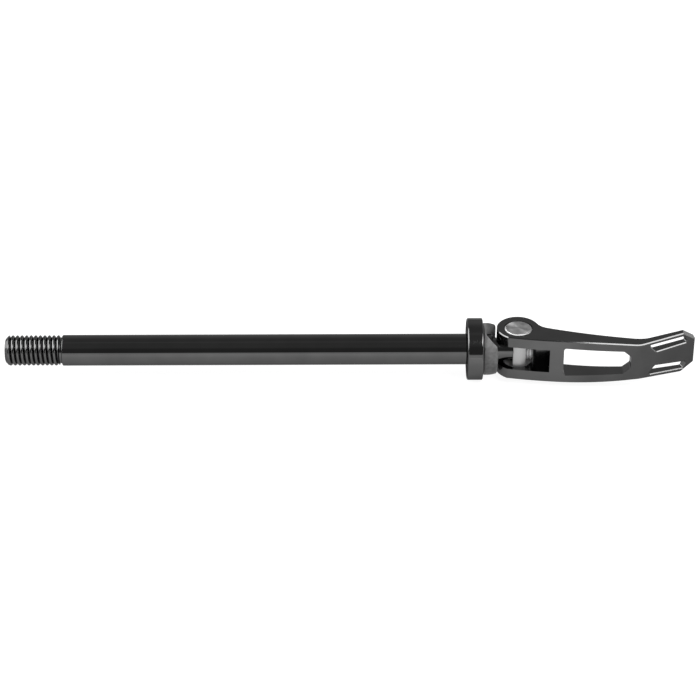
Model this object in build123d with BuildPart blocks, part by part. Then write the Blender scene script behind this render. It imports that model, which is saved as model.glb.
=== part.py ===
from build123d import *
import math
import os

os.makedirs("parts", exist_ok=True)

# Bicycle thru axle with a cam lever, in millimetres.
# The axle lies along X with its thread at -X. The origin is the centre of the face that bears on
# the frame. The lever swings about the vertical barrel, and its crowned outer face looks to -Y.

# Axle tube
axle_d = 11.9
axle_bore_d = 7.0
axle_reach = 177.1
thread_length = 20.5
thread_crest_d = 11.7
relief_width = 1.0
relief_d = 10.0
nose_length = 1.3
nose_d = 9.0
tube_edge = 0.3

# Head stud
shank_length = 18.0
journal_d = 11.5
journal_length = 9.6
journal_recess = 0.2
neck_d = 8.8
stud_thread_d = 8.0
stud_past_barrel = 2.75
stud_edge = 0.5

# Barrel nut
pivot_x = 19.55
barrel_d = 10.8
barrel_length = 18.8
barrel_seat_depth = 1.9
barrel_exit_depth = 2.85
barrel_edge = 0.6

# Clamp flange
flange_d = 23.9
flange_thickness = 6.0
flange_floor = 2.3
flange_pocket_d = 17.0
flange_front_edge = 0.9
flange_back_edge = 0.7
flange_bore_edge = 0.5

# Slip washer
washer_d = 19.8
washer_thickness = 0.5

# Cam saddle
saddle_d = 20.0
horn_height = 4.9
groove_depth = 5.3
groove_radius = 8.9
horn_edge = 0.8

# Cam lever: the outline seen from above
cam_radius = 8.2
cam_offset = 0.5
cam_front_angle = 30.0
crown_x = 21.0
crown_height = 10.0
bend_x = 46.0
bend_height = 10.0
bend_angle = 22.0
lever_reach = 67.9
bar_thickness = 4.95
tip_root_thickness = 3.8
tip_thickness = 2.4
back_mid_x = 26.0
back_mid_height = 3.4
cam_back_angle = 8.0
outer_bend_radius = 9.0
inner_bend_radius = 6.0
boss_root_radius = 6.0

# Cam lever: the outline seen from the front
boss_width = 18.6
arm_end_x = 14.0
waist_x = 45.6
waist_width = 15.4
waist_radius = 25.0
tip_width = 17.4
tip_corner_back = 5.0
tip_end_width = 10.4

# Cam lever: fork, window, tip slots and edges
fork_gap = 9.9
fork_depth = 11.7
fork_floor_height = 1.2
stud_room = 0.25
window_start_x = 17.0
window_end_x = 42.6
window_width = 12.2
window_shoulder_x = 39.8
window_shoulder_width = 9.9
window_tip_width = 5.0
window_corner_radius = 1.0
slot_inner_past_bend = 6.9
slot_outer_past_bend = 3.7
slot_inner_back = 3.4
slot_outer_back = 4.5
slot_inner_start_height = 3.15
slot_outer_start_height = 6.45
slot_inner_end_height = 4.35
slot_outer_end_height = 7.15
slot_corner_radius = 0.5
slot_edge = 0.3
lever_edge = 0.35
lever_back_edge = 0.3

# Fits
running_gap = 0.05
face_gap = 0.05
bond_gap = 0.02
spigot_end_gap = 0.3

# Places along the axle
thread_tip_x = -axle_reach
thread_end_x = thread_tip_x + nose_length + thread_length
journal_x = journal_recess
tube_end_x = journal_x - face_gap
washer_x = flange_thickness + face_gap
shoulder_x = washer_x + washer_thickness + face_gap
spigot_x = flange_floor + spigot_end_gap
horn_x = shoulder_x + horn_height
groove_x = horn_x - groove_depth
seat_flat_x = pivot_x - barrel_seat_depth
exit_flat_x = pivot_x + barrel_exit_depth
stud_end_x = exit_flat_x + stud_past_barrel
stud_swing = math.hypot(stud_end_x - pivot_x, stud_thread_d / 2)

# Sections across the axle are turned about this plane's X axis
section = Plane.XY

# Axle tube: nose, thread's crest cylinder, run-out relief and plain shaft
with BuildPart() as axle_tube:
    with BuildSketch(section):
        with BuildLine():
            Polyline(
                (thread_tip_x, axle_bore_d / 2),
                (thread_tip_x, nose_d / 2),
                (thread_tip_x + nose_length, thread_crest_d / 2),
                (thread_end_x - relief_width, thread_crest_d / 2),
                (thread_end_x - relief_width, relief_d / 2),
                (thread_end_x, relief_d / 2),
                (thread_end_x, axle_d / 2),
                (tube_end_x, axle_d / 2),
                (tube_end_x, axle_bore_d / 2),
                close=True,
            )
        make_face()
    revolve(axis=Axis.X)
    rims = axle_tube.edges().filter_by(GeomType.CIRCLE)
    shaft_rims = rims.filter_by(lambda e: abs(e.radius - axle_d / 2) < 1e-6)
    chamfer(shaft_rims, tube_edge)
    nose_rim = rims.filter_by(lambda e: abs(e.radius - nose_d / 2) < 1e-6)
    chamfer(nose_rim, tube_edge)
axle_tube.part.label = "axle_tube"
export_step(axle_tube.part, "parts/axle_tube.step")

# Head stud: shank bonded in the tube, journal for the ring and saddle, neck and M8 end
with BuildPart() as head_stud:
    with BuildSketch(section):
        with BuildLine():
            Polyline(
                (tube_end_x - shank_length, 0),
                (tube_end_x - shank_length, axle_bore_d / 2 - bond_gap),
                (journal_x, axle_bore_d / 2 - bond_gap),
                (journal_x, journal_d / 2),
                (journal_x + journal_length, journal_d / 2),
                (journal_x + journal_length, neck_d / 2),
                (seat_flat_x - bond_gap, neck_d / 2),
                (seat_flat_x - bond_gap, stud_thread_d / 2),
                (stud_end_x, stud_thread_d / 2),
                (stud_end_x, 0),
                close=True,
            )
        make_face()
    revolve(axis=Axis.X)
    stud_end = head_stud.faces().filter_by(Axis.X).sort_by(Axis.X)[-1]
    chamfer(stud_end.edges(), stud_edge)
head_stud.part.label = "head_stud"
export_step(head_stud.part, "parts/head_stud.step")

# Barrel nut: a cross pin with two flats and a tapped hole between them
with BuildPart() as barrel_nut:
    with BuildSketch(Plane.XY):
        with Locations((pivot_x, 0)):
            Circle(barrel_d / 2)
    extrude(amount=barrel_length / 2, both=True)
    chamfer(barrel_nut.edges().filter_by(GeomType.CIRCLE), barrel_edge)
    flat_width = fork_gap - 2 * running_gap
    with Locations((seat_flat_x, 0, 0)):
        Box(barrel_d, barrel_d, flat_width, align=(Align.MAX, Align.CENTER, Align.CENTER), mode=Mode.SUBTRACT)
    with Locations((exit_flat_x, 0, 0)):
        Box(barrel_d, barrel_d, flat_width, align=(Align.MIN, Align.CENTER, Align.CENTER), mode=Mode.SUBTRACT)
    with BuildSketch(Plane.YZ.offset(pivot_x)):
        Circle(stud_thread_d / 2 + bond_gap)
    extrude(amount=barrel_d, both=True, mode=Mode.SUBTRACT)
barrel_nut.part.label = "barrel_nut"
export_step(barrel_nut.part, "parts/barrel_nut.step")

# Clamp flange: the ring that bears on the frame, pocketed for the saddle's spigot
with BuildPart() as clamp_flange:
    with BuildSketch(section):
        with BuildLine():
            Polyline(
                (0, journal_d / 2 + running_gap),
                (0, flange_d / 2),
                (flange_thickness, flange_d / 2),
                (flange_thickness, flange_pocket_d / 2),
                (flange_floor, flange_pocket_d / 2),
                (flange_floor, journal_d / 2 + running_gap),
                close=True,
            )
        make_face()
    revolve(axis=Axis.X)
    outer_rims = clamp_flange.edges().filter_by(GeomType.CIRCLE)
    outer_rims = outer_rims.filter_by(lambda e: abs(e.radius - flange_d / 2) < 1e-6).sort_by(Axis.X)
    chamfer(outer_rims[0], flange_front_edge)
    chamfer(outer_rims[-1], flange_back_edge)
    bore_rims = clamp_flange.edges().filter_by(GeomType.CIRCLE).group_by(Axis.X)[0]
    chamfer(bore_rims.sort_by(SortBy.RADIUS)[0], flange_bore_edge)
clamp_flange.part.label = "clamp_flange"
export_step(clamp_flange.part, "parts/clamp_flange.step")

# Slip washer: turns on the spigot between ring and saddle
with BuildPart() as slip_washer:
    with BuildSketch(Plane.YZ.offset(washer_x)):
        Circle(washer_d / 2)
        Circle(flange_pocket_d / 2, mode=Mode.SUBTRACT)
    extrude(amount=washer_thickness)
slip_washer.part.label = "slip_washer"
export_step(slip_washer.part, "parts/slip_washer.step")

# Cam saddle: spigot and collar, with a groove across the collar that leaves two horns
with BuildPart() as cam_saddle:
    with BuildSketch(Plane.YZ.offset(spigot_x)):
        Circle(flange_pocket_d / 2 - running_gap)
    extrude(amount=shoulder_x - spigot_x)
    with BuildSketch(Plane.YZ.offset(shoulder_x)):
        Circle(saddle_d / 2)
    extrude(amount=horn_height)
    with BuildSketch(Plane.XY):
        with Locations((groove_x + groove_radius, 0)):
            Circle(groove_radius)
    extrude(amount=saddle_d, both=True, mode=Mode.SUBTRACT)
    horn_faces = cam_saddle.faces().filter_by(Axis.X).group_by(Axis.X)[-1]
    fillet(horn_faces.edges(), horn_edge)
    with BuildSketch(Plane.YZ.offset(spigot_x)):
        Circle(journal_d / 2 + running_gap)
    extrude(amount=horn_x - spigot_x, mode=Mode.SUBTRACT)
cam_saddle.part.label = "cam_saddle"
export_step(cam_saddle.part, "parts/cam_saddle.step")

# Cam lever: a bent, crowned bar cut to its outline, then forked, pierced and bevelled
turn = math.radians(bend_angle)
cam_turn = math.radians(cam_front_angle)
tip_length = (lever_reach - bend_x) / math.cos(turn)
cam_front = (-cam_radius * math.sin(cam_turn), cam_radius * math.cos(cam_turn) - cam_offset)
back_turn = math.radians(cam_back_angle)
cam_back = (cam_radius * math.cos(back_turn), -cam_radius * math.sin(back_turn) - cam_offset)
front_bend = (bend_x, bend_height)
front_tip = (lever_reach, bend_height - tip_length * math.sin(turn))
back_tip = (
    front_tip[0] - tip_thickness * math.sin(turn),
    front_tip[1] - tip_thickness * math.cos(turn),
)
back_root = (
    bend_x - tip_root_thickness * math.sin(turn),
    bend_height - tip_root_thickness * math.cos(turn),
)
back_slope = (back_tip[1] - back_root[1]) / (back_tip[0] - back_root[0])
back_bend = (
    back_root[0] + (bend_height - bar_thickness - back_root[1]) / back_slope,
    bend_height - bar_thickness,
)
arm_end = (arm_end_x, boss_width / 2)
waist = (waist_x, waist_width / 2)
side_view = Plane((pivot_x, 0, 0), x_dir=(1, 0, 0), z_dir=(0, 0, -1))
front_view = Plane((pivot_x, 0, 0), x_dir=(1, 0, 0), z_dir=(0, -1, 0))
tip_face = Plane(
    side_view.from_local_coords(front_bend),
    x_dir=(math.cos(turn), math.sin(turn), 0),
    z_dir=(math.sin(turn), -math.cos(turn), 0),
)


def depth_below_front(edge):
    """How far an edge's centre lies behind the front: level up to the bend, then sloping back."""
    place = side_view.to_local_coords(edge.center())
    return bend_height - max(0, place.X - bend_x) * math.tan(turn) - place.Y


def on_outline(edge):
    """True for the bar's long edges and for the two across its tip, not for those through its thickness."""
    across = abs(edge.tangent_at(0.5).Z) > 1 - 1e-6
    place = side_view.to_local_coords(edge.center())
    if across:
        return place.X > back_tip[0] - lever_edge
    return abs(place.X - (front_tip[0] + back_tip[0]) / 2) > tip_thickness / 10


def on_front(edge):
    """True for an edge of the crowned face or the tip's front."""
    return depth_below_front(edge) < 0.4 * bar_thickness


def on_back(edge):
    """True for an edge of the lever's back or its cam."""
    return depth_below_front(edge) > 0.4 * bar_thickness


with BuildPart() as cam_lever:
    # crowned bar with its kicked-back tip, on the eccentric cam
    with BuildSketch(side_view) as profile:
        with BuildLine():
            ThreePointArc(cam_front, (crown_x, crown_height), front_bend)
            Polyline(front_bend, front_tip, back_tip, back_bend)
            ThreePointArc(back_bend, (back_mid_x, back_mid_height), cam_back)
            ThreePointArc(cam_back, (-cam_radius, -cam_offset), cam_front)
        make_face()
        fillet(profile.vertices().sort_by_distance(front_bend)[0], outer_bend_radius)
        fillet(profile.vertices().sort_by_distance(back_bend)[0], inner_bend_radius)
        fillet(profile.vertices().sort_by_distance(cam_back)[0], boss_root_radius)
    extrude(amount=boss_width / 2, both=True)
    # outline from the front: straight arms, a waist at the bend and a flared tip
    with BuildSketch(front_view) as outline:
        with BuildLine():
            Line((-2 * cam_radius, boss_width / 2), arm_end)
            TangentArc(arm_end, waist, tangent=(1, 0))
            Polyline(
                waist,
                (lever_reach - tip_corner_back, tip_width / 2),
                (lever_reach, tip_end_width / 2),
                (lever_reach + tip_thickness, tip_end_width / 2),
                (lever_reach + tip_thickness, 0),
                (-2 * cam_radius, 0),
                (-2 * cam_radius, boss_width / 2),
            )
        make_face()
        fillet(outline.vertices().sort_by_distance(waist)[0], waist_radius)
        mirror(about=Plane.XZ)
    extrude(amount=4 * cam_radius, both=True, mode=Mode.INTERSECT)
    # a narrow bevel round the back and the cam, then round the front
    rims = cam_lever.edges().filter_by(Axis.Y, reverse=True).filter_by(on_outline)
    chamfer(rims.filter_by(on_back), lever_back_edge)
    rims = cam_lever.edges().filter_by(Axis.Y, reverse=True).filter_by(on_outline)
    chamfer(rims.filter_by(on_front), lever_edge)
    # fork: a pocket from the front with round room for the stud's end, and a slot right through for the neck
    with BuildSketch(side_view):
        with Locations((fork_depth, fork_floor_height)):
            Rectangle(4 * cam_radius, 4 * cam_radius, align=(Align.MAX, Align.MIN))
        Circle(stud_swing + stud_room)
    extrude(amount=fork_gap / 2, both=True, mode=Mode.SUBTRACT)
    with BuildSketch(front_view):
        Circle(fork_gap / 2)
        Rectangle(4 * cam_radius, fork_gap, align=(Align.MAX, Align.CENTER))
    extrude(amount=4 * cam_radius, both=True, mode=Mode.SUBTRACT)
    # window: square at the fork end, faceted at the tip end
    with BuildSketch(front_view) as window:
        with BuildLine():
            Polyline(
                (window_start_x, 0),
                (window_start_x, window_width / 2),
                (window_shoulder_x, window_shoulder_width / 2),
                (window_end_x, window_tip_width / 2),
                (window_end_x, 0),
                close=True,
            )
        make_face()
        mirror(about=Plane.XZ)
        fillet(window.vertices(), window_corner_radius)
    extrude(amount=4 * cam_radius, both=True, mode=Mode.SUBTRACT)
    # two slots through the tip that spread towards its corners
    with BuildSketch(tip_face) as slots:
        with BuildLine():
            Polyline(
                (slot_inner_past_bend, slot_inner_start_height),
                (slot_outer_past_bend, slot_outer_start_height),
                (tip_length - slot_outer_back, slot_outer_end_height),
                (tip_length - slot_inner_back, slot_inner_end_height),
                close=True,
            )
        make_face()
        fillet(slots.vertices(), slot_corner_radius)
        mirror(about=Plane.XZ)
    extrude(amount=-2 * tip_thickness, mode=Mode.SUBTRACT)
    slot_rims = cam_lever.edges(Select.LAST).filter_by(lambda e: depth_below_front(e) < slot_edge)
    chamfer(slot_rims, slot_edge)
    # bearing hole for the barrel
    with BuildSketch(side_view):
        Circle(barrel_d / 2 + running_gap)
    extrude(amount=boss_width, both=True, mode=Mode.SUBTRACT)
cam_lever.part.label = "cam_lever"
export_step(cam_lever.part, "parts/cam_lever.step")
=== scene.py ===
# %% [markdown]
# # A bicycle thru axle with a cam lever
# The axle is a long black tube with a coarse thread at one end. At the other end a stud carries a
# clamp ring, a grey saddle and a forked lever that swings about a bright barrel. This lesson dresses
# the fixed frame of the part: the shapes that turn on a lathe are worked out as surfaces, the milled
# and moulded pieces keep their own solids, and every piece gets the finish of its real material.

# %% Load the frame
import math
import bpy
import numpy as np
from mathutils import Euler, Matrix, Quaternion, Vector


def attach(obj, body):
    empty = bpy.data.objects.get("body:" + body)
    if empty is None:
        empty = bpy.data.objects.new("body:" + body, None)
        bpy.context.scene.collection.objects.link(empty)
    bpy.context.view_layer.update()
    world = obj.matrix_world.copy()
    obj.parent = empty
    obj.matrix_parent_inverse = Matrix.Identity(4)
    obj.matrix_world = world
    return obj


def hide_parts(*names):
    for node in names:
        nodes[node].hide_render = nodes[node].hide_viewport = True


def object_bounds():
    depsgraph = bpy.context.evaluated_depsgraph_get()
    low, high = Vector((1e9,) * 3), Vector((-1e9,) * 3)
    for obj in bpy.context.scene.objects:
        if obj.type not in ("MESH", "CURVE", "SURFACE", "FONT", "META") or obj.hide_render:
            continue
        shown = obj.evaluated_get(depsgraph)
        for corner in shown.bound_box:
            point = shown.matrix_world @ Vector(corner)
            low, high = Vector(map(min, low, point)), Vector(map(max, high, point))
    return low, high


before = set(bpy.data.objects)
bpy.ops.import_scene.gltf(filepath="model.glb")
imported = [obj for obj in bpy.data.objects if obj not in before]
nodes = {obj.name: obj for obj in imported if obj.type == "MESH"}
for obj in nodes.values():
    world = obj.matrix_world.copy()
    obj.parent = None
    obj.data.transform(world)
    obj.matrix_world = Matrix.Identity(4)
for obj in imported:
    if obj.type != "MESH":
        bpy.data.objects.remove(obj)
cad_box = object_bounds()
MM = 0.001
print("nodes:", sorted(nodes))

# %% [markdown]
# ## Colours and nodes
# Colours are written as people pick them, in sRGB hex, and the renderer works in linear light, so one
# function converts them. A second function adds a shader node with its settings and links in one call,
# which keeps each material short enough to read as a recipe. A third spreads grey levels along a colour
# ramp, for the floor and the room, whose light changes in steps.

# %% Colour and node helpers
def linear(hex_colour):
    """Linear RGBA of an sRGB hex colour: a short straight part near black, then a 2.4 power curve."""
    channels = np.array([int(hex_colour[i:i + 2], 16) / 255 for i in (1, 3, 5)])
    curve = np.where(channels <= 0.04045, channels / 12.92, ((channels + 0.055) / 1.055) ** 2.4)
    return (*curve.tolist(), 1.0)


def add_node(tree, kind, settings=None, **inputs):
    """Adds a node, sets its properties, then sets each named input to a value or links it to a socket.
    A name made of i and a number, such as i0, stands for the input at that place."""
    node = tree.nodes.new(kind)
    for name, value in (settings or {}).items():
        setattr(node, name, value)
    for name, value in inputs.items():
        key = int(name[1:]) if name[0] == "i" and name[1:].isdigit() else name.replace("_", " ")
        if isinstance(value, bpy.types.NodeSocket):
            tree.links.new(value, node.inputs[key])
        else:
            node.inputs[key].default_value = value
    return node


def spread(ramp, steps):
    """Sets a colour ramp's stops to (place, level) steps, as greys from the first place to the last."""
    stops = ramp.color_ramp.elements
    while len(stops) < len(steps):
        stops.new(1.0)
    first, last = steps[0][0], steps[-1][0]
    for stop, (place, level) in zip(stops, steps):
        stop.position = (place - first) / (last - first)
        stop.color = (level, level, level, 1)


WHITE = linear("#ffffff")
print("black is", linear("#000000"), "and white is", WHITE)

# %% [markdown]
# ## The floor
# Products like this are photographed on white paper. A curved sweep would do, but the camera looks down
# and never sees the far edge, so one flat sheet under the clamp ring is enough. It keeps the soft shadow,
# and it glows a little for the camera, so that it reads as white out to its edges. Black metal mirrors
# the paper too, through a glow that only mirrors see, painted with light and shade: painted brightest by
# the fork, painted darker towards the tip, and a painted shadow close by the axle.

# %% Floor material
FLOOR_COLOUR = "#7c7c7c"
FLOOR_GLOW = 0.92
# Painted light and shade in the mirrored glow along the axle, in steps of a place in mm and a level
PAINTED_MIRRORED_GLOW = ((-60, 0.82), (6, 0.82), (22, 1.0), (34, 0.94), (50, 0.68), (66, 0.6), (100, 0.4))
# Share of that glow far in front of the axle and close to it, with the places in mm; the lower share close
# by is painted shadow
FAR_PLACE, FAR_SHARE = -50, 1.0
NEAR_PLACE, PAINTED_SHADOW_NEAR_SHARE = -6, 0.72

floor_material = bpy.data.materials.new("white_paper_sweep")
floor_material.use_nodes = True
tree = floor_material.node_tree
tree.nodes.clear()
path = add_node(tree, "ShaderNodeLightPath")
place = add_node(tree, "ShaderNodeTexCoord")
spot = add_node(tree, "ShaderNodeSeparateXYZ", Vector=place.outputs["Object"])
along = add_node(tree, "ShaderNodeMapRange", Value=spot.outputs["X"],
                 From_Min=PAINTED_MIRRORED_GLOW[0][0] * MM, From_Max=PAINTED_MIRRORED_GLOW[-1][0] * MM)
ramp = add_node(tree, "ShaderNodeValToRGB", Fac=along.outputs[0])
spread(ramp, PAINTED_MIRRORED_GLOW)
patch = add_node(tree, "ShaderNodeRGBToBW", Color=ramp.outputs[0])
painted_axle_shadow = add_node(tree, "ShaderNodeMapRange", Value=spot.outputs["Y"], From_Min=FAR_PLACE * MM,
                 From_Max=NEAR_PLACE * MM, To_Min=FAR_SHARE, To_Max=PAINTED_SHADOW_NEAR_SHARE)
# Painted light and shade, seen only in mirrors: the steps along the axle times the painted shadow near it
painted_light_and_shade = add_node(tree, "ShaderNodeMath", {"operation": "MULTIPLY"},
                i0=patch.outputs[0], i1=painted_axle_shadow.outputs[0])
mirrored = add_node(tree, "ShaderNodeMath", {"operation": "MULTIPLY"},
                    i0=path.outputs["Is Glossy Ray"], i1=painted_light_and_shade.outputs[0])
glow = add_node(tree, "ShaderNodeMath", {"operation": "MULTIPLY_ADD"},
                i0=path.outputs["Is Camera Ray"], i1=FLOOR_GLOW, i2=mirrored.outputs[0])
paper = add_node(tree, "ShaderNodeBsdfDiffuse", Color=linear(FLOOR_COLOUR), Roughness=1.0)
light = add_node(tree, "ShaderNodeEmission", Color=WHITE, Strength=glow.outputs[0])
both = add_node(tree, "ShaderNodeAddShader", i0=paper.outputs[0], i1=light.outputs[0])
add_node(tree, "ShaderNodeOutputMaterial", Surface=both.outputs[0])
print("mirrored floor in", len(PAINTED_MIRRORED_GLOW), "steps")

# %% Floor sheet
FLOOR_SIZE = 6.0
FLOOR_GAP = 0.2 * MM
floor_z = cad_box[0][2] - FLOOR_GAP
corners = np.array([(-1, -1), (1, -1), (1, 1), (-1, 1)]) * FLOOR_SIZE / 2
floor_mesh = bpy.data.meshes.new("floor")
floor_mesh.from_pydata([(x, y, floor_z) for x, y in corners.tolist()], [], [(0, 1, 2, 3)])
floor_mesh.materials.append(floor_material)
floor = bpy.data.objects.new("floor", floor_mesh)
bpy.context.scene.collection.objects.link(floor)
print("floor at", round(floor_z / MM, 2), "mm")

# %% [markdown]
# ## The room
# Polished black shows its surroundings more than its own colour, so the room is designed before the
# metal. A photograph of a studio could light it, but a few steps of grey are easier to steer. The walls
# are white up to a little above the horizon, which draws the sharp line along the shaft. Above that, the
# grey goes up and over from front to back, and the upper half of every round piece mirrors it in order.

# %% World
# Steps of grey by the angle up from the front, over the top and down to the back, in degrees
ROOM = ((0, 0.12), (36, 0.12), (50, 0.2), (82, 0.2), (90, 0.27), (98, 0.2), (118, 0.21), (130, 0.27),
        (142, 0.37), (156, 0.48), (180, 0.5))
# Top of the white wall above the horizon and half the width of its soft edge, in degrees
HORIZON_LIFT = 9.5
HORIZON_SOFTNESS = 1.0
BACKDROP = 1.0
world = bpy.data.worlds.new("studio_room")
bpy.context.scene.world = world
world.use_nodes = True
tree = world.node_tree
tree.nodes.clear()
direction = add_node(tree, "ShaderNodeTexCoord")
axes = add_node(tree, "ShaderNodeSeparateXYZ", Vector=direction.outputs["Generated"])
front = add_node(tree, "ShaderNodeMath", {"operation": "MULTIPLY"}, i0=axes.outputs["Y"], i1=-1.0)
angle = add_node(tree, "ShaderNodeMath", {"operation": "ARCTAN2"},
                 i0=axes.outputs["Z"], i1=front.outputs[0])
share = add_node(tree, "ShaderNodeMath", {"operation": "DIVIDE"}, i0=angle.outputs[0], i1=math.pi)
ramp = add_node(tree, "ShaderNodeValToRGB", Fac=share.outputs[0])
spread(ramp, ROOM)
room = add_node(tree, "ShaderNodeRGBToBW", Color=ramp.outputs[0])
low = math.sin(math.radians(HORIZON_LIFT - HORIZON_SOFTNESS))
high = math.sin(math.radians(HORIZON_LIFT + HORIZON_SOFTNESS))
wall = add_node(tree, "ShaderNodeMapRange", {"interpolation_type": "SMOOTHSTEP"}, Value=axes.outputs["Z"],
                From_Min=low, From_Max=high, To_Min=BACKDROP, To_Max=room.outputs[0])
path = add_node(tree, "ShaderNodeLightPath")
mirrored = add_node(tree, "ShaderNodeMath", {"operation": "MAXIMUM"},
                    i0=path.outputs["Is Glossy Ray"], i1=path.outputs["Is Transmission Ray"])
seen = add_node(tree, "ShaderNodeMath", {"operation": "MULTIPLY"},
                i0=wall.outputs[0], i1=mirrored.outputs[0])
lit = add_node(tree, "ShaderNodeMath", {"operation": "MAXIMUM"}, i0=seen.outputs[0], i1=room.outputs[0])
shade = add_node(tree, "ShaderNodeMath", {"operation": "MAXIMUM"},
                 i0=lit.outputs[0], i1=path.outputs["Is Camera Ray"])
sky = add_node(tree, "ShaderNodeBackground", Color=WHITE, Strength=shade.outputs[0])
add_node(tree, "ShaderNodeOutputWorld", Surface=sky.outputs[0])
print("room lit in", len(ROOM), "steps and white up to", HORIZON_LIFT, "degrees")

# %% [markdown]
# ## Soft boxes
# Two soft boxes stand high to the left and right, and two long cards stand low beside the floor. A round
# bar seen from the front never mirrors them, but every bevel, rim and thread flank that faces sideways
# does, and gets its thin bright line. Lamps of one size all round would be simpler, but then the lever's
# bevel would shine from end to end, and the photograph shows where that line starts.

# %% Lamps
def soft_box(name, azimuth, elevation, distance, size, power):
    """An oblong area lamp, with angles in degrees, lengths in metres and power in watts. It stands at an
    azimuth right of the front and an elevation above the floor, and it faces the origin."""
    turn = math.radians(azimuth)
    rise = math.radians(elevation)
    data = bpy.data.lights.new(name, "AREA")
    data.shape = "RECTANGLE"
    data.size, data.size_y = size
    data.energy = power
    lamp = bpy.data.objects.new(name, data)
    lamp.location = (distance * math.cos(rise) * math.sin(turn),
                     -distance * math.cos(rise) * math.cos(turn),
                     distance * math.sin(rise))
    lamp.rotation_euler = (math.pi / 2 - rise, 0, turn)
    bpy.context.scene.collection.objects.link(lamp)
    return lamp


lamps = [soft_box("right_soft_box", 53.5, 53.5, 1.52, size=(1.3, 0.62), power=18),
         soft_box("left_soft_box", -92, 38, 1.5, size=(1.6, 1.5), power=50),
         soft_box("low_left_card", -105, 7, 1.6, size=(1.8, 0.36), power=4.5),
         soft_box("low_right_card", 110, 7, 1.6, size=(2.6, 0.36), power=6.5)]
print("lamps:", [lamp.name for lamp in lamps])

# %% [markdown]
# ## Camera
# The photograph looks down at about thirty degrees from the lever's crowned side, through a long lens:
# the tube's two ends differ little in size. A camera without perspective would come close, but the small
# difference shows, so this one stands 0.9 m from a point on the axle and is rolled by a hair.

# %% Camera
VIEW_DISTANCE = 900 * MM
VIEW_ELEVATION = math.radians(32.3)
VIEW_CENTRE_X = -44.85 * MM
VIEW_DROP = 0.31 * MM
VIEW_ROLL = math.radians(-0.19)
VIEW_WIDTH = 269.23 * MM
SENSOR = 36.0
camera_data = bpy.data.cameras.new("photo_camera")
camera_data.sensor_fit = "HORIZONTAL"
camera_data.sensor_width = SENSOR
camera_data.lens = SENSOR * VIEW_DISTANCE / VIEW_WIDTH
camera = bpy.data.objects.new("photo_camera", camera_data)
camera.location = (VIEW_CENTRE_X,
                   -VIEW_DISTANCE * math.cos(VIEW_ELEVATION),
                   VIEW_DISTANCE * math.sin(VIEW_ELEVATION) - VIEW_DROP)
tilt = Euler((math.pi / 2 - VIEW_ELEVATION, 0, 0)).to_quaternion()
camera.rotation_euler = (tilt @ Quaternion((0, 0, 1), VIEW_ROLL)).to_euler()
bpy.context.scene.collection.objects.link(camera)
bpy.context.scene.camera = camera
bpy.context.scene.view_settings.view_transform = "Standard"
print("lens", round(camera_data.lens, 1), "mm")

# %% [markdown]
# ## Lathe work
# The tube, its stud and the clamp ring are turned parts: each is one profile swept about the axle's own
# line. Blender's Screw modifier could sweep a profile too, but a thread changes the radius along the way
# and round it, so the whole grid of radii is worked out at once. On the real pieces no edge is perfectly
# sharp, so every corner of a profile is eased by a small curve, wide where the photo shows a rounded rim.
# Smooth shading would bend the light on a long straight side next to a corner, so such a side gets an
# extra corner that lies on it, close to each end, to hold it flat.

# %% Eased profiles
STEPS = 7


def eased(corners, steps=STEPS):
    """Profile through (x, radius, reach) corners of a closed loop. Each corner becomes a parabola that
    leaves the straight sides a reach before the corner and a reach after it."""
    table = np.array(corners, float)
    place, reach = table[:, :2], table[:, 2:]
    back = np.roll(place, 1, axis=0) - place
    onward = np.roll(place, -1, axis=0) - place
    start = place + reach * back / np.linalg.norm(back, axis=1, keepdims=True)
    end = place + reach * onward / np.linalg.norm(onward, axis=1, keepdims=True)
    t = np.linspace(0, 1, steps)[None, :, None]
    curve = start[:, None] * (1 - t) ** 2 + 2 * place[:, None] * t * (1 - t) + end[:, None] * t ** 2
    return curve.reshape(-1, 2)


print("each corner is eased in", STEPS, "steps")

# %% Threads and turned surfaces
RIDGE_POWER = 0.7
SHARP_EDGE = math.radians(50)


def thread(x, angle, pitch, crest, depth):
    """Radius of a rolled right-hand thread. The phase is x in pitches less the turns about the axis.
    Across it, each ridge is an arch of a cosine to a power below one: a broad crest, a narrow root."""
    phase = x / pitch - angle / (2 * np.pi)
    arch = np.abs(np.cos(np.pi * phase)) ** RIDGE_POWER
    return crest - depth * (1 - arch)


def turned(name, x, radius, closed=True):
    """Surface of turning: row i and column j stand at x, radius*cos(angle), radius*sin(angle), in mm.
    A closed profile joins its last row to its first; an open one ends in a flat cap at each end."""
    rows, columns = radius.shape
    angle = 2 * np.pi * np.arange(columns) / columns
    length = np.broadcast_to(x[:, None], radius.shape)
    points = np.stack([length, radius * np.cos(angle), radius * np.sin(angle)], -1)
    number = np.arange(rows * columns).reshape(rows, columns)
    last = rows if closed else rows - 1
    here, above = number[:last], np.roll(number, -1, axis=0)[:last]
    quads = np.stack([here, np.roll(here, -1, axis=1), np.roll(above, -1, axis=1), above], -1)
    faces = quads.reshape(-1, 4).tolist()
    if not closed:
        faces += [number[0, ::-1].tolist(), number[-1].tolist()]
    mesh = bpy.data.meshes.new(name)
    mesh.from_pydata((points.reshape(-1, 3) * MM).tolist(), [], faces)
    mesh.shade_smooth()
    mesh.set_sharp_from_angle(angle=SHARP_EDGE)
    piece = bpy.data.objects.new(name, mesh)
    bpy.context.scene.collection.objects.link(piece)
    print(name, "has", len(faces), "faces")
    return piece


print("a quarter pitch from its crest, a ridge is", round(thread(0.25, 0, 1, 1, 1), 2), "of its height")

# %% [markdown]
# ## Axle tube with its M12 x 1.75 thread
# The tube is turned and bored from aluminium bar, then its end is threaded by a rolling die. The solid
# carries a plain cylinder there, so the helix is worked out here: twelve crests of the coarse thread,
# cut down by the nose cone where the die starts and stopped by the run-out groove. A bump in a material
# would be quicker, but the teeth show against the white floor, so they are real ridges.

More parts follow.
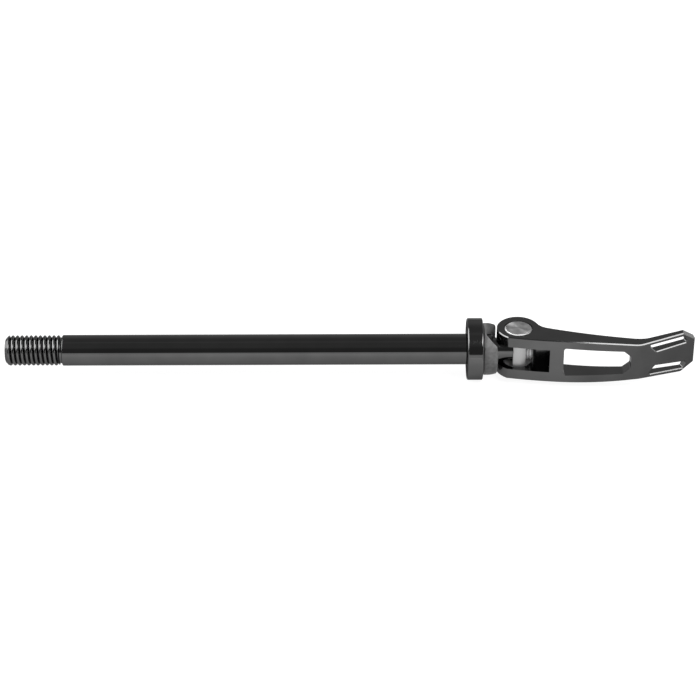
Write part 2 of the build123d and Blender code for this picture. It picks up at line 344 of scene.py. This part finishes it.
# %% Threaded axle tube
TIP, NOSE_END, RUN_OUT, SHAFT_START, SHAFT_END = -177.1, -175.8, -156.3, -155.3, 0.15
TUBE_BORE, NOSE, CREST, RELIEF, SHAFT = 3.5, 4.5, 5.85, 5.0, 5.95
NOSE_ROUND, TUBE_EDGE, GROOVE_SLOPE = 0.25, 0.3, 0.15
M12_PITCH, M12_DEPTH, M12_START, M12_GROWTH = 1.75, 1.07, 0.35, 0.7
# Gap from the nose's rim to the thread's first row, and from the run-out to its last
FIRST_GAP, LAST_GAP = 0.05, 0.25
# Reach of a hair-thin corner, a crisp one and a soft one
HAIR, CRISP, SOFT = 0.01, 0.05, 0.1
ROWS_PER_PITCH, COLUMNS = 24, 160
AROUND = 2 * np.pi * np.arange(COLUMNS) / COLUMNS
nose_rim = eased([(TIP, TUBE_BORE, SOFT), (TIP, NOSE, NOSE_ROUND), (NOSE_END, CREST, 0)])[:2 * STEPS]
ridge_x = np.arange(nose_rim[-1, 0] + FIRST_GAP, RUN_OUT + LAST_GAP, M12_PITCH / ROWS_PER_PITCH)
ridge_limit = np.interp(ridge_x, [TIP, NOSE_END, RUN_OUT - GROOVE_SLOPE, RUN_OUT + GROOVE_SLOPE],
                        [NOSE, CREST, CREST, RELIEF])
plain = eased([(RUN_OUT + 2 * GROOVE_SLOPE, RELIEF, HAIR), (SHAFT_START, RELIEF, SOFT),
               (SHAFT_START, SHAFT - TUBE_EDGE, CRISP), (SHAFT_START + TUBE_EDGE, SHAFT, SOFT),
               (SHAFT_START + 2 * TUBE_EDGE, SHAFT, CRISP), (SHAFT_END - 2 * TUBE_EDGE, SHAFT, CRISP),
               (SHAFT_END - TUBE_EDGE, SHAFT, SOFT), (SHAFT_END, SHAFT - TUBE_EDGE, CRISP),
               (SHAFT_END, TUBE_BORE, CRISP)])
tube_x = np.concatenate([nose_rim[:, 0], ridge_x, plain[:, 0]])
tube_limit = np.concatenate([nose_rim[:, 1], ridge_limit, plain[:, 1]])
threaded = np.zeros(len(tube_x), bool)
threaded[len(nose_rim):len(nose_rim) + len(ridge_x)] = True
# The thread grows to its full depth about the end of the nose cone
grown = np.interp(tube_x, [NOSE_END - M12_GROWTH, NOSE_END + M12_GROWTH], [0, M12_DEPTH])[:, None]
helix = thread(tube_x[:, None] - M12_START, AROUND[None, :], M12_PITCH, CREST, grown)
tube_radius = np.where(threaded[:, None], np.minimum(helix, tube_limit[:, None]), tube_limit[:, None])
tube = turned("threaded_axle_tube", tube_x, tube_radius)

# %% [markdown]
# ## Head stud
# The stud is bonded in the tube. Its journal and neck are blackened, while the M8 end that screws into
# the barrel is left bright. Only the last two turns of that thread show, inside the fork. It could be a
# separate piece, but one profile keeps the stud whole, as it comes off the lathe.

# %% Head stud with its M8 end
SHANK_START, JOURNAL, JOURNAL_END, NECK_END, STUD_END = -17.85, 0.2, 9.8, 17.63, 25.15
SHANK_R, JOURNAL_R, NECK_R, M8_R = 3.48, 5.75, 4.4, 4.0
SHANK_EDGE, STUD_EDGE, M8_EDGE = 0.5, 0.3, 0.5
M8_PITCH, M8_DEPTH, M8_FIRST_GAP = 1.25, 0.6, 0.02
# Radius of the flat cap in the middle of each end
SHANK_CAP, M8_CAP = 0.4, 0.6
shank = eased([(SHANK_START, SHANK_CAP, 0), (SHANK_START, SHANK_R - SHANK_EDGE, CRISP),
               (SHANK_START + SHANK_EDGE, SHANK_R, CRISP), (JOURNAL, SHANK_R, CRISP),
               (JOURNAL, JOURNAL_R - STUD_EDGE, CRISP), (JOURNAL + STUD_EDGE, JOURNAL_R, CRISP),
               (JOURNAL_END - STUD_EDGE, JOURNAL_R, CRISP), (JOURNAL_END, JOURNAL_R - STUD_EDGE, CRISP),
               (JOURNAL_END, NECK_R, CRISP), (JOURNAL_END + STUD_EDGE, NECK_R, CRISP),
               (NECK_END - STUD_EDGE, NECK_R, CRISP), (NECK_END, NECK_R, CRISP),
               (NECK_END, M8_R - STUD_EDGE, 0)])[STEPS - 1:1 - STEPS]
end_x = np.arange(NECK_END + M8_FIRST_GAP, STUD_END, M8_PITCH / ROWS_PER_PITCH)
end_limit = np.minimum(M8_R, M8_R + (STUD_END - M8_EDGE - end_x).clip(max=0))
stud_end = np.array([(STUD_END, M8_R - M8_EDGE - CRISP), (STUD_END, M8_CAP)])
stud_x = np.concatenate([shank[:, 0], end_x, stud_end[:, 0]])
stud_limit = np.concatenate([shank[:, 1], end_limit, stud_end[:, 1]])
threaded = np.zeros(len(stud_x), bool)
threaded[len(shank):len(shank) + len(end_x)] = True
helix = thread(stud_x[:, None], AROUND[None, :], M8_PITCH, M8_R, M8_DEPTH)
stud_radius = np.where(threaded[:, None], np.minimum(helix, stud_limit[:, None]), stud_limit[:, None])
stud = turned("threaded_head_stud", stud_x, stud_radius, closed=False)

# %% [markdown]
# ## Clamp ring
# The ring bears on the frame. It is turned from bar and pocketed for the saddle's spigot, and its outer
# rims are rounded, which is what draws the thin bright line along each side of it. A Bevel modifier
# would round every edge alike, so the profile rounds these two by themselves.

# %% Clamp ring
RING_R, RING_WIDTH, RING_FLOOR, POCKET_R, RING_BORE = 11.94, 6.0, 2.3, 8.5, 5.8
# Width of each rounded rim, the reach of its curve, and the bore's edge
SEAT_RIM, SEAT_ROUND = 0.9, 0.7
SADDLE_RIM, SADDLE_ROUND = 0.8, 0.6
BORE_EDGE = 0.5
RING_COLUMNS, RING_STEPS = 192, 11
ring_profile = eased([(0, RING_BORE + BORE_EDGE, CRISP), (0, RING_R - SEAT_RIM, CRISP),
                      (0, RING_R, SEAT_ROUND), (SEAT_RIM, RING_R, CRISP),
                      (RING_WIDTH - SADDLE_RIM, RING_R, CRISP), (RING_WIDTH, RING_R, SADDLE_ROUND),
                      (RING_WIDTH, RING_R - SADDLE_RIM, CRISP), (RING_WIDTH, POCKET_R, SOFT),
                      (RING_FLOOR, POCKET_R, SOFT), (RING_FLOOR, RING_BORE, SOFT),
                      (BORE_EDGE, RING_BORE, CRISP)], RING_STEPS)
ring = turned("clamp_ring", ring_profile[:, 0], np.repeat(ring_profile[:, 1:], RING_COLUMNS, axis=1))

# %% [markdown]
# ## Black anodising
# Anodised aluminium is dark because dye sits in a clear oxide skin, so it mirrors the room weakly and has
# almost no colour of its own. A black plastic with a clear coat would look close from the front, but it
# gets too bright at grazing angles. So it is a dark metal: a tenth of the light comes back, with a tint
# that holds the edges down. Turned pieces keep rings from the lathe, about 0.1 mm apart, and blasted ones
# an even grain of about 0.05 mm.

# %% Anodised finishes
# A noise seldom leaves this range, over which the gloss wanders by a share of the roughness
NOISE_LOW, NOISE_HIGH = 0.3, 0.7
GLOSS_WANDER = 0.15
CLOUDS_PER_MM = 0.12


def anodised(name, roughness, edge_tint, rings_per_mm=0, grain_per_mm=0, dark="#555555", pale="#626262"):
    """Dark mirror with a streaky roughness: noise stretched into rings along X, or an even fine grain."""
    material = bpy.data.materials.new(name)
    material.use_nodes = True
    tree = material.node_tree
    shader = tree.nodes["Principled BSDF"]
    place = add_node(tree, "ShaderNodeTexCoord")
    stretch = (rings_per_mm / MM, 0, 0) if rings_per_mm else (grain_per_mm / MM,) * 3
    laid = add_node(tree, "ShaderNodeMapping", Vector=place.outputs["Object"], Scale=stretch)
    grain = add_node(tree, "ShaderNodeTexNoise", Vector=laid.outputs[0],
                     Scale=1.0, Detail=3.0, Roughness=0.6)
    cloud = add_node(tree, "ShaderNodeTexNoise", Vector=place.outputs["Object"],
                     Scale=CLOUDS_PER_MM / MM, Detail=2.0)
    gloss = add_node(tree, "ShaderNodeMapRange", Value=grain.outputs["Fac"],
                     From_Min=NOISE_LOW, From_Max=NOISE_HIGH,
                     To_Min=roughness * (1 - GLOSS_WANDER), To_Max=roughness * (1 + GLOSS_WANDER))
    dye = add_node(tree, "ShaderNodeMixRGB", Fac=cloud.outputs["Fac"],
                   Color1=linear(dark), Color2=linear(pale))
    shader.inputs["Metallic"].default_value = 1.0
    shader.inputs["Specular Tint"].default_value = linear(edge_tint)
    tree.links.new(dye.outputs[0], shader.inputs["Base Color"])
    tree.links.new(gloss.outputs[0], shader.inputs["Roughness"])
    return material


# The real rings and grain are too fine to show, so all are drawn about five times coarser
# Polished before it was dyed, so the horizon is one sharp line along the tube
tube_black = anodised("black_anodised_tube", 0.05, "#c4c4c4", rings_per_mm=1.5)
# Turned a little less fine, so the same line is softer on the ring
ring_black = anodised("black_anodised_ring", 0.08, "#b4b4b4", rings_per_mm=2.0)
# Faced and left dull, so the ring's flat sides stay dark when seen edge-on
ring_side_black = anodised("black_anodised_ring_side", 0.5, "#404040", rings_per_mm=2.0,
                           dark="#3d3d3d", pale="#474747")
# Blasted finely, so the lever's flat faces are even and its bevels still shine
lever_black = anodised("black_anodised_lever", 0.16, "#b4b4b4", grain_per_mm=4.0)
# Blackened and polished steel, which mirrors the floor as the tube does
stud_black = anodised("blackened_steel", 0.08, "#b4b4b4", rings_per_mm=2.0)
print("five black finishes")

# %% [markdown]
# ## Bright steel
# The barrel nut and the stud's thread are plain steel, left as the tool leaves them. The barrel's end is
# faced on a lathe: its rings are far finer than a pixel, so they show as a streak that fans out from the
# middle. Drawn rings would flicker, so stretched highlights about the barrel's axis give the streak. The
# barrel's rim and side are ground and duller, and they are told apart from the end by their height.

# %% Steel finishes
BAND_BLEND = 0.08


def bright_steel(name, roughness, dark, pale, tones_per_mm, anisotropy=0.0, bands=()):
    """Bare metal whose tone and gloss wander with a noise of so many tones per mm along each axis. Each
    band is a height along Z in mm, and the colour and roughness of the metal nearer the middle than it."""
    material = bpy.data.materials.new(name)
    material.use_nodes = True
    tree = material.node_tree
    shader = tree.nodes["Principled BSDF"]
    place = add_node(tree, "ShaderNodeTexCoord")
    laid = add_node(tree, "ShaderNodeMapping", Vector=place.outputs["Object"], Scale=tones_per_mm)
    tone = add_node(tree, "ShaderNodeTexNoise", Vector=laid.outputs[0], Scale=1.0 / MM, Detail=3.0)
    colour = add_node(tree, "ShaderNodeMixRGB", Fac=tone.outputs["Fac"],
                      Color1=linear(dark), Color2=linear(pale))
    gloss = add_node(tree, "ShaderNodeMapRange", Value=tone.outputs["Fac"],
                     From_Min=NOISE_LOW, From_Max=NOISE_HIGH,
                     To_Min=roughness * (1 - GLOSS_WANDER), To_Max=roughness * (1 + GLOSS_WANDER))
    for height, band_colour, band_roughness in bands:
        spot = add_node(tree, "ShaderNodeSeparateXYZ", Vector=place.outputs["Object"])
        along = add_node(tree, "ShaderNodeMath", {"operation": "ABSOLUTE"}, i0=spot.outputs["Z"])
        past = add_node(tree, "ShaderNodeMapRange", Value=along.outputs[0],
                        From_Min=height * MM, From_Max=(height + BAND_BLEND) * MM)
        colour = add_node(tree, "ShaderNodeMixRGB", Fac=past.outputs[0],
                          Color1=linear(band_colour), Color2=colour.outputs[0])
        gloss = add_node(tree, "ShaderNodeMapRange", Value=past.outputs[0],
                         To_Min=band_roughness, To_Max=gloss.outputs[0])
    shader.inputs["Metallic"].default_value = 1.0
    shader.inputs["Anisotropic"].default_value = anisotropy
    tree.links.new(colour.outputs[0], shader.inputs["Base Color"])
    tree.links.new(gloss.outputs[0], shader.inputs["Roughness"])
    if anisotropy:
        around = add_node(tree, "ShaderNodeTangent", {"direction_type": "RADIAL", "axis": "Z"})
        tree.links.new(around.outputs[0], shader.inputs["Tangent"])
    return material


RIM_BAND = (9.3, "#a0a0a0", 0.6)
SIDE_BAND = (8.7, "#cacaca", 0.6)
# Tool marks are too fine to show, so the tone wanders over 0.5 mm to 3 mm instead
# Faced end with a fan of light, a thin pale rim and a plain, softly lit side
barrel_steel = bright_steel("turned_barrel_steel", 0.34, "#7a7a7a", "#d8d8d8", (0.5, 0.5, 0.5),
                            anisotropy=0.8, bands=(RIM_BAND, SIDE_BAND))
# Rolled thread, bright but not polished, with faint rings round the axle
thread_steel = bright_steel("bare_thread_steel", 0.6, "#d0d0d0", "#e6e6e6", (2.0, 0.3, 0.3))
print("two steel finishes")

# %% [markdown]
# ## Nylon and acetal
# The saddle is moulded from glass-filled nylon, grey and matt, with the mottling that the fibres leave
# where the mould filled. The washer is a punched ring of black acetal, smoother and a little waxy. Both
# could be one plain grey each, but the mottling shows on the saddle, so a noise shifts the colour, and a
# slight bump is enough of a grain for pieces that are only a few pixels wide.

# %% Plastics
PATCH_LOW, PATCH_HIGH = 0.35, 0.65
BUMP_STRENGTH = 0.25


def moulded(name, dark, pale, roughness, patches_per_mm, grain_per_mm, relief):
    """Matt plastic: broad patches between two greys, and a grain that ripples the surface by a relief
    in mm."""
    material = bpy.data.materials.new(name)
    material.use_nodes = True
    tree = material.node_tree
    shader = tree.nodes["Principled BSDF"]
    place = add_node(tree, "ShaderNodeTexCoord")
    patch = add_node(tree, "ShaderNodeTexNoise", Vector=place.outputs["Object"],
                     Scale=patches_per_mm / MM, Detail=4.0)
    grain = add_node(tree, "ShaderNodeTexNoise", Vector=place.outputs["Object"],
                     Scale=grain_per_mm / MM, Detail=2.0)
    share = add_node(tree, "ShaderNodeMapRange", Value=patch.outputs["Fac"],
                     From_Min=PATCH_LOW, From_Max=PATCH_HIGH)
    colour = add_node(tree, "ShaderNodeMixRGB", Fac=share.outputs[0],
                      Color1=linear(dark), Color2=linear(pale))
    bump = add_node(tree, "ShaderNodeBump", Height=grain.outputs["Fac"],
                    Strength=BUMP_STRENGTH, Distance=relief * MM)
    shader.inputs["Roughness"].default_value = roughness
    tree.links.new(colour.outputs[0], shader.inputs["Base Color"])
    tree.links.new(bump.outputs[0], shader.inputs["Normal"])
    return material


# Glass fibres are 0.01 mm thick, too fine to show, so patches and grain are drawn coarser
# Mottled mid grey with a soft sheen along the groove
grey_nylon = moulded("glass_filled_nylon", "#636363", "#7a7a7a", 0.42,
                     patches_per_mm=0.6, grain_per_mm=2.5, relief=0.06)
# Near black, so the washer reads as a thin dark line
black_acetal = moulded("black_acetal", "#252525", "#2d2d2d", 0.4,
                       patches_per_mm=0.3, grain_per_mm=1.5, relief=0.02)
print("two plastics")

# %% [markdown]
# ## Putting it together
# The turned surfaces take the place of their solids and ride the same bodies, so they move with the
# joints. The stud and the ring carry a second finish on some of their faces. Cutting them into more
# pieces would do that too, but picking the faces by their place along the axle leaves each piece whole.
# The lever, the saddle, the washer and the barrel keep their solids, which already have their shapes.

# %% Turned pieces
for piece, node, body, slot, finish in (
        (tube, "axle_tube", "axle", "black_anodised_aluminium", tube_black),
        (stud, "head_stud", "axle", "blackened_steel", stud_black),
        (ring, "clamp_flange", "flange", "black_anodised_aluminium", ring_black)):
    piece.data.materials.append(finish)
    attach(piece, body)
    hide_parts(node)
print("three turned pieces replace their solids")

# %% Second finishes
FACE_DEPTH = 0.02


def face_places(piece):
    """Place of each face's middle along the axle: every third number of the x, y and z in one row."""
    middles = np.zeros(3 * len(piece.data.polygons))
    piece.data.polygons.foreach_get("center", middles)
    return middles[::3]


stud.data.materials.append(thread_steel)
bare = face_places(stud) > NECK_END * MM
stud.data.polygons.foreach_set("material_index", bare.astype(np.int32))
ring.data.materials.append(ring_side_black)
ring_x = face_places(ring)
sides = (ring_x < FACE_DEPTH * MM) | (ring_x > (RING_WIDTH - FACE_DEPTH) * MM)
ring.data.polygons.foreach_set("material_index", sides.astype(np.int32))
print("bare faces on the stud:", int(bare.sum()), "and dull faces on the ring:", int(sides.sum()))

# %% Solid pieces
for node, finish in (("barrel_nut", barrel_steel), ("slip_washer", black_acetal),
                     ("cam_saddle", grey_nylon), ("cam_lever", lever_black)):
    nodes[node].data.materials.clear()
    nodes[node].data.materials.append(finish)
print("four solid pieces dressed")
